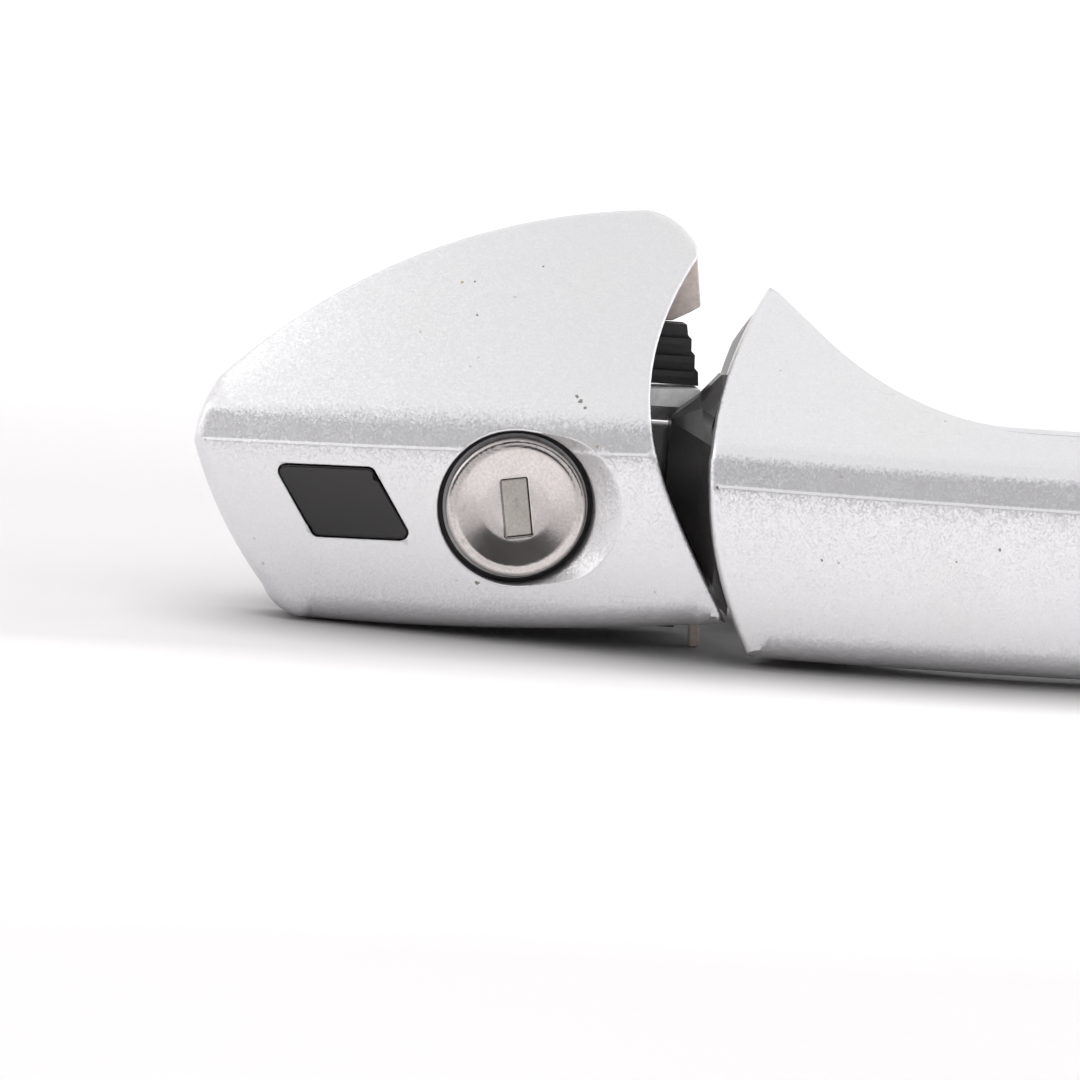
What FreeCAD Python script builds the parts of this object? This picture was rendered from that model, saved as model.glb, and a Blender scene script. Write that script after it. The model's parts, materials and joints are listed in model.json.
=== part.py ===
"""Car door handle, bow type: fixed rear cap with lock, pull grip hinged at the front, carrier behind.

Units are millimetres and degrees. X runs along the handle, -Y points out of the door, +Z is up.
Y = 0 is the carrier face that bears on the inside of the door skin.
"""
import math
import os
import re

import FreeCAD
import Part
import Sketcher
from FreeCAD import Placement, Rotation, Vector

DIMENSIONS = [
    # door and carrier
    ("skin", 0.9, "door skin thickness"),
    ("rim_gap", 2.1, "from the carrier face out to the rims of cap and grip"),
    ("plate", 3.0, "carrier plate thickness"),
    ("plate_half", 13.0, "half height of the carrier plate"),
    ("rib_low", -22.7, "lower end of the locating rib under the cap"),
    ("plate_left", -104.0, "left end of the carrier plate"),
    ("plate_right", 129.5, "right end of the carrier plate"),
    ("rail_depth", 14.0, "depth of the carrier's edge rails"),
    ("rail", 2.5, "thickness of the carrier's edge rails"),
    ("boss_spacing", 60.0, "distance between the two fixing screws"),
    ("boss_rad", 6.5, "outer radius of a screw boss"),
    ("insert_rad", 4.0, "outer radius of a threaded insert"),
    ("thread_rad", 2.5, "bore radius of an M6 threaded insert"),
    ("insert_len", 9.0, "length of a threaded insert"),
    # outer form of cap and grip
    ("plan_rad", 340.0, "radius of the bow in plan"),
    ("cap_apex", 33.0, "depth of the cap's bow at mid length, if it were carried on"),
    ("grip_apex", 36.5, "depth of the grip's bow at mid length"),
    ("wall", 2.2, "wall thickness of the painted shells"),
    ("undercut", 2.6, "how far the lower panel leans back towards the door"),
    ("band", 5.2, "height of the facet above the crease"),
    ("lean", 1.5, "how far the facet leans back"),
    ("ledge", 0.35, "step of the lower panel at the crease"),
    # rear cap, in its own axes with the lock axis as origin
    ("lock_x", -81.6, "lock axis along the handle"),
    ("cap_tilt", 3.5, "turn of the cap about the lock axis"),
    ("cap_crease", 8.9, "height of the cap's crease above the lock axis"),
    ("cap_low", -19.2, "lowest point of the cap's lower edge"),
    ("cap_low_rad", 525.0, "radius of the cap's lower edge"),
    ("cap_low_mid", -14.0, "place of that lowest point along the cap"),
    ("cap_arc_rad", 101.0, "radius of the cap's upper outline"),
    ("cap_arc_x", 23.5, "centre of that outline along the cap"),
    ("cap_arc_z", -57.0, "height of that centre"),
    ("cap_tip", -48.4, "left end of the cap"),
    ("tip_rad", 61.0, "radius of the cap's lower left end"),
    ("tip_arc_x", 11.1, "centre of that end along the cap"),
    ("tip_arc_z", 21.8, "height of that centre"),
    ("mouth_x", 19.6, "left-most point of the cap's open mouth"),
    ("mouth_z", 14.5, "height of that point"),
    ("cap_end", 33.0, "right-hand limit of the cap"),
    ("lock_hole_rad", 11.8, "radius of the hole around the lock"),
    ("flare_rad", 12.0, "radius of the flare beside the lock"),
    ("flare_tilt", 27.0, "tilt of the flare's axis towards the mouth"),
    ("window_x", -25.9, "centre of the infrared window along the cap"),
    ("window_len", 14.9, "length of the infrared window"),
    ("window_tall", 11.0, "height of the infrared window"),
    ("window_skew", 6.3, "slant of the window's ends"),
    ("window_thick", 1.6, "thickness of the infrared window"),
    # grip
    ("grip_left", -54.3, "left-most point of the grip"),
    ("grip_right", 130.0, "right end of the grip"),
    ("grip_crease", 6.7, "height of the grip's crease"),
    ("grip_low", -19.6, "lower edge of the grip"),
    ("bar_left", -8.0, "left end of the straight bar"),
    ("bar_right", 78.0, "right end of the straight bar"),
    ("bar_top", 17.6, "height of the bar's top edge"),
    ("bar_thick", 14.6, "thickness of the bar"),
    ("swoop_rad", 40.0, "radius of the swoops that join bar and feet"),
    ("swoop_run", 27.0, "length of a swoop's round part"),
    ("foot_top", 35.5, "height of the rear foot where it meets the door"),
    ("plug_depth", 9.0, "depth of the end plug's wall behind the grip's front"),
    ("mouth_gap", 0.6, "gap between the end plug and the edge of the cap's mouth"),
    # hinge and pull mechanism
    ("pivot_x", 118.0, "grip hinge axis along the handle"),
    ("pivot_y", 7.0, "grip hinge axis behind the carrier face"),
    ("pin_rad", 2.5, "radius of the hinge pin and the crank pin"),
    ("running", 0.06, "radial running clearance"),
    ("pull_angle", 9.0, "travel of the grip"),
    ("arm_x", -50.0, "left face of the rear arm"),
    ("arm_thick", 4.0, "thickness of the rear arm"),
    ("crank_y", 18.0, "crank axis behind the carrier face"),
    ("crank_z", -14.0, "crank axis height"),
    ("finger_reach", 22.8, "distance from crank axis to finger"),
    ("finger_rad", 2.0, "radius of the crank finger"),
    ("finger_rest", 35.0, "rest angle of the crank finger from upright"),
    # lock
    ("face_y", -21.5, "front plane of the lock"),
    ("face_rad", 10.6, "radius of the lock's face cap"),
    ("barrel_rad", 8.0, "radius of the lock barrel"),
    ("barrel_rear", 24.0, "rear end of the lock barrel"),
    ("housing_rad", 11.0, "radius of the lock housing"),
    ("slot_w", 4.2, "width of the key opening"),
    ("slot_t", 8.9, "height of the key opening"),
    ("slot_tilt", 9.7, "lean of the key opening at rest"),
]

doc = FreeCAD.newDocument("DoorHandle")
sheet = doc.addObject("Spreadsheet::Sheet", "Dims")
dim = {}
for row, (alias, value, note) in enumerate(DIMENSIONS, start=1):
    sheet.set("A%d" % row, note)
    sheet.set("B%d" % row, repr(value))
    sheet.setAlias("B%d" % row, alias)
    dim[alias] = value
doc.recompute()

SKIN_Y = -dim["skin"]
RIM_Y = -dim["rim_gap"]
CAP_PLACE = Placement(Vector(dim["lock_x"], 0, 0), Rotation(Vector(0, 1, 0), -dim["cap_tilt"]))
ALONG_X = Rotation(Vector(0, 1, 0), 90)
ALONG_Y = Rotation(Vector(1, 0, 0), -90)
ALONG_Z = Rotation()
nodes = []


# ---------------------------------------------------------------- helpers
def bound(text):
    """Write each alias in an expression as a reference to the sheet."""
    return re.sub(r"[a-z_]\w*", lambda word: "Dims." + word.group(0), text)


def bind(item, **sizes):
    """Bind properties of an object to expressions of the sheet's aliases."""
    for prop, text in sizes.items():
        item.setExpression(prop, bound(str(text)))


def place(item, x, y, z, rotation=ALONG_Z):
    """Turn an object, then bind its position to expressions."""
    item.Placement = Placement(Vector(), rotation)
    for axis, text in zip("xyz", (x, y, z)):
        item.setExpression("Placement.Base." + axis, bound(str(text)))
    return item


def named(item, label):
    """Register an object as a finished sub-part."""
    item.Label = label
    nodes.append(item)
    return item


def box(name, length, width, height, x, y, z, rotation=ALONG_Z):
    item = doc.addObject("Part::Box", name)
    bind(item, Length=length, Width=width, Height=height)
    return place(item, x, y, z, rotation)


def rod(name, radius, length, x, y, z, rotation=ALONG_Z):
    item = doc.addObject("Part::Cylinder", name)
    bind(item, Radius=radius, Height=length)
    return place(item, x, y, z, rotation)


def fuse(name, *items):
    item = doc.addObject("Part::MultiFuse", name)
    item.Shapes = list(items)
    item.Refine = True
    return item


def cut(name, base, *tools):
    item = doc.addObject("Part::Cut", name)
    item.Base = base
    item.Tool = tools[0] if len(tools) == 1 else fuse(name + "_tools", *tools)
    item.Refine = True
    return item


def feature(name, shape, placement=Placement()):
    """Keep a shape made with Part's own functions."""
    item = doc.addObject("Part::Feature", name)
    item.Shape = shape
    item.Placement = placement
    return item


def origin_plane(body, role):
    return next(plane for plane in body.Origin.OriginFeatures if plane.Role == role)


def sketch_outline(body, name, role, points, circles=()):
    """Closed straight outline plus circles, on one of the body's own origin planes."""
    sketch = body.newObject("Sketcher::SketchObject", name)
    sketch.AttachmentSupport = [(origin_plane(body, role), "")]
    sketch.MapMode = "FlatFace"
    corners = [Vector(x, y, 0) for x, y in points]
    for start, end in zip(corners, corners[1:] + corners[:1]):
        sketch.addGeometry(Part.LineSegment(start, end), False)
    count = len(corners)
    for index in range(count):
        follow = (index + 1) % count
        sketch.addConstraint(Sketcher.Constraint("Coincident", index, 2, follow, 1))
    for x, y, radius in circles:
        sketch.addGeometry(Part.Circle(Vector(x, y, 0), Vector(0, 0, 1), radius), False)
    return sketch


def padded(label, role, points, length, circles=(), reverse=False, start=0.0):
    """PartDesign body: one outline padded from an origin plane."""
    body = doc.addObject("PartDesign::Body", label)
    sketch = sketch_outline(body, label + "_outline", role, points, circles)
    sketch.AttachmentOffset = Placement(Vector(0, 0, start), Rotation())
    pad = body.newObject("PartDesign::Pad", label + "_pad")
    pad.Profile = sketch
    pad.Reversed = reverse
    bind(pad, Length=length)
    return body


def prism(outline, y_front, y_back):
    """Solid between two planes of Y from a closed outline of (x, z) points."""
    corners = [Vector(x, y_front, z) for x, z in outline]
    face = Part.Face(Part.makePolygon(corners + corners[:1]))
    return face.extrude(Vector(0, y_back - y_front, 0))


def curve(points):
    """Smooth edge through (x, z) points."""
    spline = Part.BSplineCurve()
    spline.interpolate([Vector(x, 0, z) for x, z in points])
    return spline.toShape()


def arc(start, through, end):
    """Round edge through three (x, z) points."""
    return Part.Arc(*[Vector(x, 0, z) for x, z in (start, through, end)]).toShape()


def line(start, end):
    return Part.LineSegment(Vector(start[0], 0, start[1]), Vector(end[0], 0, end[1])).toShape()


def column(edges):
    """Deep solid along Y behind a closed outline made of edges in the XZ plane."""
    face = Part.Face(Part.Wire(Part.__sortEdges__(edges)))
    face.translate(Vector(0, -60, 0))
    return face.extrude(Vector(0, 120, 0))


def loft(stations, section):
    """Smooth solid through one (y, z) section at each station along X."""
    wires = []
    for x in stations:
        corners = [Vector(x, y, z) for y, z in section(x)]
        wires.append(Part.makePolygon(corners + corners[:1]))
    return Part.makeLoft(wires, True, False)


def mix(start, end, share):
    return start + (end - start) * share


def steps(first, last, count):
    return [mix(first, last, index / (count - 1)) for index in range(count)]


def bow_y(x, apex):
    """Front of the handle in plan: one long arc."""
    sag = dim["plan_rad"] - math.sqrt(dim["plan_rad"] ** 2 - x ** 2)
    return SKIN_Y - (apex - sag)


def front_profile(front, crease, low, inset):
    """Band, crease ledge, lower panel and rounded lower edge, from the top down."""
    under = min(dim["undercut"], -0.25 * front)
    return [
        (front + dim["lean"], crease + dim["band"] - 0.6 * inset),
        (front + dim["ledge"], crease),
        (front, crease - 0.15),
        (front + 0.85 * under, low + 3.0),
        (front + under + 1.0, low + 0.8),
        (front + under + 3.2, low),
    ]


# ---------------------------------------------------------------- rear cap
def cap_lower_edge(x):
    return dim["cap_low"] + (x - dim["cap_low_mid"]) ** 2 / (2 * dim["cap_low_rad"])


def cap_upper_edge(x):
    return dim["cap_arc_z"] + math.sqrt(dim["cap_arc_rad"] ** 2 - (x - dim["cap_arc_x"]) ** 2)


def cap_section(inset, rim):
    """Section of the cap, drawn in by inset, reaching back to the plane rim."""
    def section(x):
        front = bow_y(dim["lock_x"] + x, dim["cap_apex"]) + inset
        low = cap_lower_edge(x) + inset
        profile = front_profile(front, dim["cap_crease"], low, inset)
        top = cap_upper_edge(x) - 1.3 * inset
        return [(rim, top)] + profile + [(rim, low + 0.6)]
    return section


def mouth_x(z):
    """Open end of the cap: a rounded V lying on its side."""
    rise = z - dim["mouth_z"]
    if rise > 0:
        return dim["mouth_x"] + 0.018 * rise ** 2
    return dim["mouth_x"] + math.hypot(6.45, 0.55 * rise) - 6.45


def cap_outline():
    """Front outline of the cap: tip, rounded lower corner, mouth and shoulder."""
    tip = dim["cap_tip"]
    brow = (-44.6, 18.2)
    corner = (-37.9, -13.9)
    knee = (-35.9, -16.9)
    heel = (-31.5, -18.7)
    mouth = [(mouth_x(z), z) for z in steps(-24, 37.6, 12)]
    shoulder_end = (21.5, 44.4)
    return [
        line((shoulder_end[0], 60), (brow[0], 60)),
        line((brow[0], 60), brow),
        arc(brow, (-47.2, 13.0), (tip, 8.0)),
        arc((tip, 8.0), (-44.7, -2.4), corner),
        arc(corner, knee, heel),
        line(heel, (heel[0], mouth[0][1])),
        line((heel[0], mouth[0][1]), mouth[0]),
        curve(mouth),
        arc(mouth[-1], (27.0, 41.2), shoulder_end),
        line(shoulder_end, (shoulder_end[0], 60)),
    ]


def lock_rod(radius, y_front, y_back, tilt=0.0):
    """Cylinder on the lock axis in the cap's axes; tilt leans it towards the mouth."""
    angle = math.radians(tilt)
    direction = Vector(math.sin(angle), -math.cos(angle), 0)
    start = Vector(0, dim["face_y"], 0) - direction * (y_back - dim["face_y"])
    return Part.makeCylinder(radius, y_back - y_front, start, direction)


def window_outline(shrink):
    half, tall, skew = dim["window_len"] / 2, dim["window_tall"] / 2, dim["window_skew"] / 2
    x = dim["window_x"]
    left, right, high = -half + shrink, half - shrink, tall - shrink
    return [(x + left - skew, high), (x + right - skew, high),
            (x + right + skew, -high), (x + left + skew, -high)]


cap_stations = [-51, -47, -42, -35, -25, -12, 2, 16, 27, dim["cap_end"]]
cap_solid = loft(cap_stations, cap_section(0.0, RIM_Y)).common(column(cap_outline()))
hollow_edge = [(dim["cap_tip"] + 4.8, 60), (dim["cap_tip"] + 4.8, 13.5), (dim["cap_tip"] + 2.6, 7), (-42.4, -3), (-38.6, -9.5),
               (-34.6, -14.9), (-29.5, -16.6), (-29.5, -25), (60, -25), (60, 60)]
hollow = loft(cap_stations, cap_section(dim["wall"], RIM_Y + 3)).common(prism(hollow_edge, -60, 20))
sleeve = lock_rod(15.3, -45, -16.5).common(cap_solid)
tab = prism([(21, 40.5), (26.0, 39.5), (29.2, 37.3), (29.9, 29.2), (28.3, 28.3), (25.5, 27.0), (21, 27.0)],
            RIM_Y - 1.8, RIM_Y)
rib = prism([(27.7, -16), (29.3, -16), (29.3, dim["rib_low"]), (27.7, dim["rib_low"])], -14.5, -12.0)
cap_shape = cap_solid.cut(hollow).fuse([sleeve, tab, rib])
cap_shape = cap_shape.cut([lock_rod(dim["lock_hole_rad"], -45, 0),
                           lock_rod(dim["flare_rad"], -45, dim["face_y"] + 1.0, dim["flare_tilt"]),
                           prism(window_outline(0.0), -45, -6)])
named(feature("Cap", cap_shape, CAP_PLACE), "cap_shell")

window_back = loft(cap_stations, cap_section(dim["window_thick"], RIM_Y + 3))
window_shape = cap_solid.common(prism(window_outline(0.15), -45, -6)).cut(window_back)
named(feature("Window", window_shape, CAP_PLACE), "ir_window")

# ---------------------------------------------------------------- grip
GRIP_BAND = dim["grip_crease"] + dim["band"]


def door_height(x):
    """Top of the grip's footprint on the door: level, then a round drop to the front tip."""
    tip_x = dim["cap_tip"] + dim["grip_right"] - x
    drop = dim["cap_arc_rad"] ** 2 - min(0.0, tip_x - dim["cap_arc_x"]) ** 2
    lowered = dim["cap_arc_z"] - (dim["cap_crease"] - dim["grip_crease"])
    return min(dim["foot_top"], lowered + math.sqrt(drop))


def top_height(x):
    """Top edge of the grip: level bar, round swoops, straight flanks, feet."""
    run = max(dim["bar_left"] - x, x - dim["bar_right"], 0.0)
    bend = min(run, dim["swoop_run"])
    depth = math.sqrt(dim["swoop_rad"] ** 2 - bend ** 2)
    rise = dim["swoop_rad"] - depth + (run - bend) * bend / depth
    return min(dim["bar_top"] + rise, door_height(x))


def grip_section(inset, rim):
    """Section of the grip: bar behind the finger gap, or foot down to the door."""
    def section(x):
        front = bow_y(x, dim["grip_apex"]) + inset
        low = dim["grip_low"] + inset
        door, top = door_height(x), top_height(x)
        lean_y = front + dim["lean"]
        top_y = mix(lean_y, RIM_Y, (top - GRIP_BAND) / (door - GRIP_BAND))
        foot = (top - dim["bar_top"]) / (door - dim["bar_top"])
        back = bow_y(x, dim["grip_apex"]) + dim["bar_thick"] - inset
        top -= 1.1 * inset
        return [(mix(top_y, rim, foot), top)] + front_profile(front, dim["grip_crease"], low, inset) + [
            (mix(back - 2.5, rim, foot), low + 1.2),
            (mix(back, rim, foot), low + 12.0),
            (mix(min(top_y + 3.5, back), rim, foot), top - 3.5),
        ]
    return section


def grip_left_x(z):
    """Rear end of the grip: bowed, further in at the top."""
    rise = z - 10.0
    if rise > 0:
        return dim["grip_left"] + 0.13 * rise + 0.014 * rise ** 2
    return dim["grip_left"] + 0.0098 * rise ** 2


def grip_outline(shift, tip_in, far):
    """Front outline of the grip; shift moves the rear end, tip_in the front tip."""
    tip = dim["grip_right"] - tip_in
    corner = (tip - 9.6, -15.7)
    knee = (tip - 11.7, -18.4)
    heel = (tip - 15.9, -20.1)
    edge = [(grip_left_x(z) + shift, z) for z in steps(-30, 40, 11)]
    return [
        curve(edge),
        line(edge[-1], (edge[-1][0], 60)),
        line((edge[-1][0], 60), (tip, 60)),
        line((tip, 60), (tip, 5.8)),
        arc((tip, 5.8), (tip - 3.7, -4.6), corner),
        arc(corner, knee, heel),
        line(heel, (heel[0], -far)),
        line((heel[0], -far), (edge[0][0], -far)),
        line((edge[0][0], -far), edge[0]),
    ]


grip_stations = (steps(-58, -42, 4) + steps(-38, dim["bar_left"], 7) + [6, 35, 64]
                 + steps(dim["bar_right"], 105, 7) + [109, 114, 120, 126, 132])
relief = Part.makeBox(40, 20, 90, Vector(0, 0, -45))
relief.rotate(Vector(0, 0, 0), Vector(0, 0, 1), -dim["pull_angle"] - 1.5)
relief.translate(Vector(dim["pivot_x"] - 5, RIM_Y, 0))
grip_solid = loft(grip_stations, grip_section(0.0, RIM_Y)).common(column(grip_outline(0.0, 0.0, 40)))
grip_solid = grip_solid.cut(relief)
grip_hollow = loft(grip_stations, grip_section(dim["wall"], RIM_Y + 3))
grip_hollow = grip_hollow.common(column(grip_outline(-8.0, 2.6, 40)))


def split_section(x):
    """Everything in front of the parting surface of the two grip shells."""
    front = bow_y(x, dim["grip_apex"])
    door, top = door_height(x), top_height(x)
    foot = (top - dim["bar_top"]) / (door - dim["bar_top"])
    parting = mix(front + 9.0, RIM_Y + 6, min(1.0, 1.25 * foot))
    return [(front - 20, -50), (parting, -50), (parting, 70), (front - 20, 70)]


front_part = loft(grip_stations, split_section)
grip_walls = grip_solid.cut(grip_hollow)
named(feature("GripFront", grip_walls.common(front_part)), "grip_outer_shell")


def screw(x, y_head, length):
    """Cross-recess screw along Y: head outwards at y_head."""
    head = Part.makeCylinder(2.9, 1.2, Vector(x, y_head, SCREW_Z), Vector(0, -1, 0))
    shank = Part.makeCylinder(1.5, length, Vector(x, y_head - 1.2, SCREW_Z), Vector(0, -1, 0))
    recess = [Part.makeBox(a, 0.8, b, Vector(x - a / 2, y_head - 0.8, SCREW_Z - b / 2))
              for a, b in ((3.0, 0.7), (0.7, 3.0))]
    return head.fuse(shank).cut(recess)


SCREW_Z = -4.0
SCREW_PLACES = (0.0, 34.0, 68.0)


def back_y(x):
    return bow_y(x, dim["grip_apex"]) + dim["bar_thick"]


grip_back = grip_walls.cut(front_part)
screw_heads = [back_y(x) - 0.4 for x in SCREW_PLACES]
for x, head in zip(SCREW_PLACES, screw_heads):
    grip_back = grip_back.cut(
        [Part.makeCylinder(3.0, 4.0, Vector(x, head + 2.8, SCREW_Z), Vector(0, -1, 0)),
         Part.makeCylinder(1.6, 8.0, Vector(x, head, SCREW_Z), Vector(0, -1, 0))])
named(feature("GripBack", grip_back), "grip_inner_shell")
screws = Part.makeCompound([screw(x, head, 6.2) for x, head in zip(SCREW_PLACES, screw_heads)])
named(feature("GripScrews", screws), "grip_screws")


def core_section(x):
    front = bow_y(x, dim["grip_apex"])
    return [(front + 5.5, -10), (front + 9.5, -10), (front + 9.5, 6), (front + 5.5, 6)]


core_shape = loft([dim["arm_x"] + dim["arm_thick"], -20, 20, 60, 104], core_section)
core_holes = [Part.makeCylinder(1.5, 8.0, Vector(x, back_y(x) - 1.6, SCREW_Z), Vector(0, -1, 0))
              for x in SCREW_PLACES]
named(feature("GripCore", core_shape.cut(core_holes)), "grip_core")

# end plug: a shallow wall just inside the rear end, and a faceted nose that fills the cap's mouth
NOSE_BACK = -15.8
plug_form = loft(grip_stations, grip_section(dim["wall"] + 0.1, RIM_Y))
behind_wall = plug_form.copy()
behind_wall.translate(Vector(0, dim["plug_depth"], 0))
slab = column(grip_outline(0.9, 2.6, 40)).cut(column(grip_outline(3.2, -10, 40)))
plug_wall = plug_form.common(slab).cut(behind_wall)
nose_end = [(-25.5, -15.5), (-29.3, 10.8), (-27.0, 15.1), (-18.6, 21.9)]
nose_sections = [
    (-58.9, [(-18.0, -15.5), (-19.6, 14.4), (-19.4, 14.8), (-19.0, 15.0)]),
    (-54.6, [(-23.0, -15.5), (-26.0, 12.3), (-21.0, 16.8), (-18.2, 18.5)]),
    (-51.7, nose_end),
    (-49.0, nose_end),
]
nose_wires = []
for x, front_edge in nose_sections:
    ring = front_edge + [(NOSE_BACK, front_edge[-1][1]), (NOSE_BACK, front_edge[0][1])]
    nose_wires.append(Part.makePolygon([Vector(x, y, z) for y, z in ring + ring[:1]]))
nose = Part.makeLoft(nose_wires, True, True)
nose = nose.fuse(Part.makeBox(14, 8.8, 28.5, Vector(-63, NOSE_BACK, -15.5)))
gate = prism([(mouth_x(z) + dim["mouth_gap"], z) for z in steps(-24, 36, 16)] + [(60, 36), (60, -24)], -60, 20)
gate.Placement = CAP_PLACE
around_hollow = column(grip_outline(0.0, 0.0, 40)).cut(grip_hollow)
plug_shape = plug_wall.fuse(nose.common(gate)).cut(around_hollow)
arm_room = Part.makeBox(8, 60, 19, Vector(dim["arm_x"] - 0.2, -28, -3))
named(feature("EndPlug", plug_shape.cut(arm_room)), "grip_end_plug")

# rear arm: steel strap with the slot that carries the crank finger
finger_y = dim["crank_y"] + dim["finger_reach"] * math.sin(math.radians(dim["finger_rest"]))
ARM_FRONT, ARM_TIP, SLOT_HALF = -26.0, finger_y + 6.2, 3.0
arm = box("ArmStrap", "arm_thick", ARM_TIP - ARM_FRONT, 16, "arm_x", ARM_FRONT, -2)
arm_slot = box("ArmSlot", "arm_thick + 2", 2 * SLOT_HALF, 10.2, "arm_x - 1",
               finger_y - SLOT_HALF, 1.5)
named(cut("RearArm", arm, arm_slot), "grip_rear_arm")

# front foot: hook around the hinge pin
foot = padded("FrontFoot", "XY_Plane",
              [(104, -15.6), (104, -11.6), (109.5, -9), (112.4, 4), (116, 12), (121, 12),
               (123.4, 8), (123.4, 4), (119, -9.5), (112, -14)],
              "10", [(dim["pivot_x"], dim["pivot_y"], dim["pin_rad"] + dim["running"])], start=-5.0)
named(foot, "grip_front_foot")

# ---------------------------------------------------------------- carrier
half = dim["plate_half"]
plate_outline = [(dim["plate_left"], -half), (dim["plate_right"], -half), (dim["plate_right"], half),
                 (-37, half), (-37, -3.5), (-62, -3.5), (-62, half), (dim["plate_left"], half)]
boss_xs = (-dim["boss_spacing"] / 2, dim["boss_spacing"] / 2)
plate_holes = [(dim["lock_x"], 0, dim["housing_rad"])]
plate_holes += [(x, 0, dim["insert_rad"]) for x in boss_xs]
plate = padded("CarrierPlate", "XZ_Plane", plate_outline, "plate", plate_holes, reverse=True)
window_cut = box("FootOpening", 18.5, "plate + 2", 11.2, 107.5, -1, -5.6)
rails = [box("TopRail", 163, "rail_depth", "rail", -36.5, "plate - 0.5", "plate_half - rail"),
         box("LowRail", 157, "rail_depth", "rail", -28, "plate - 0.5", "-plate_half")]
ribs = [box("Rib%d" % index, 2.2, "rail_depth - 2", "2*plate_half - 1", x, "plate - 0.5", "0.5 - plate_half")
        for index, x in enumerate((-18.0, 8.0, 48.0, 76.0))]
bosses = [rod("Boss%d" % index, "boss_rad", "insert_len - 1", x, "1", 0, ALONG_Y)
          for index, x in enumerate(boss_xs)]
boss_bores = [rod("BossBore%d" % index, "insert_rad", "insert_len + 2", x, "-1", 0, ALONG_Y)
              for index, x in enumerate(boss_xs)]
brackets = [box("CrankBracket%d" % index, 3, 22, 12, x, "plate - 0.5", "crank_z - 5.3")
            for index, x in enumerate((-66.0, -34.0))]
bracket_bore = rod("BracketBore", "pin_rad", 40, -70, "crank_y", "crank_z", ALONG_X)
lugs = [box("HingeLug%d" % index, 12, 12.5, 3.6, "pivot_x - 6", "plate - 2.5", z)
        for index, z in enumerate((-9.4, 5.8))]
lug_bore = rod("LugBore", "pin_rad", 24, "pivot_x", "pivot_y", -12)
cable_post = box("CablePost", 5, 9, 9, -45, "plate - 0.5", "-plate_half")
cable_bore = rod("CableBore", 3, 8, -46.5, 7, -8.4, ALONG_X)
carrier = fuse("CarrierSolid", plate, *rails, *ribs, *bosses, *brackets, *lugs, cable_post)
named(cut("Carrier", carrier, window_cut, *boss_bores, bracket_bore, lug_bore, cable_bore),
      "carrier_frame")

inserts = [rod("InsertBody%d" % index, "insert_rad", "insert_len", x, 0, 0, ALONG_Y)
           for index, x in enumerate(boss_xs)]
threads = [rod("InsertBore%d" % index, "thread_rad", "insert_len + 2", x, -1, 0, ALONG_Y)
           for index, x in enumerate(boss_xs)]
named(cut("Inserts", fuse("InsertPair", *inserts), *threads), "carrier_inserts")
named(rod("HingePin", "pin_rad", 18.8, "pivot_x", "pivot_y", -9.4), "grip_hinge_pin")


def seal(label, outline, opening):
    """Flat rubber gasket on the door skin."""
    shape = prism(outline, SKIN_Y - 0.8, SKIN_Y).cut(opening)
    return named(feature(label, shape), label)


seal("front_base_seal",
     [(98, -17.5), (114, -17.5), (121, -11), (127.3, 3), (127.3, 9), (119, 18), (108, 25.5), (98, 25.5)],
     Part.makeBox(19.5, 8, 12.4, Vector(107, -6, -6.2)))
rear_outline = [(-45, 8), (-42, -4), (-37, -12), (-31, -18), (-14, -19.3), (8, -20.8), (27, -21.7), (22, 0), (19, 14),
                (22, 28), (19, 40.5), (5, 39), (-15, 33), (-30, 26), (-42, 17)]
rear_shape = prism(rear_outline, SKIN_Y - 0.8, SKIN_Y)
rear_shape = rear_shape.cut(lock_rod(12.5, -10, 10))
named(feature("RearSeal", rear_shape, CAP_PLACE), "rear_base_seal")

# ---------------------------------------------------------------- lock
housing_parts = [
    rod("HousingTube", "housing_rad", 27.2, "lock_x", -19.2, 0, ALONG_Y),
    rod("HousingRear", "housing_rad - 1.2", 20, "lock_x", 7.5, 0, ALONG_Y),
    rod("HousingFlange", 14, 3, "lock_x", "plate", 0, ALONG_Y),
    box("HousingEar", 4, 6, 12, "lock_x + 9.6", -13, "4"),
    box("ScrewLug", 9, 9, 9, "lock_x - 18", 5.5, -9.5),
]
housing_bore = rod("HousingBore", "barrel_rad + running", 60, "lock_x", -25, 0, ALONG_Y)
lug_thread = rod("LugThread", 2.4, 14, "lock_x - 20", 10, -5, ALONG_X)
named(cut("LockHousing", fuse("HousingSolid", *housing_parts), housing_bore, lug_thread),
      "lock_housing")
screw_head = rod("CapScrewHead", 4.2, 3.2, "lock_x - 24.2", 10, -5, ALONG_X)
screw_shank = rod("CapScrewShank", 2.4, 12, "lock_x - 21.5", 10, -5, ALONG_X)
screw_hex = rod("CapScrewSocket", 1.8, 2.4, "lock_x - 24.7", 10, -5, ALONG_X)
named(cut("CapScrew", fuse("CapScrewSolid", screw_head, screw_shank), screw_hex), "cap_screw")
seal_ring = rod("SealRingOuter", "lock_hole_rad - 0.05", 2.4, "lock_x", -18.6, 0, ALONG_Y)
seal_ring_bore = rod("SealRingBore", "housing_rad", 4, "lock_x", -19, 0, ALONG_Y)
named(cut("SealRing", seal_ring, seal_ring_bore), "lock_seal_ring")

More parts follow.
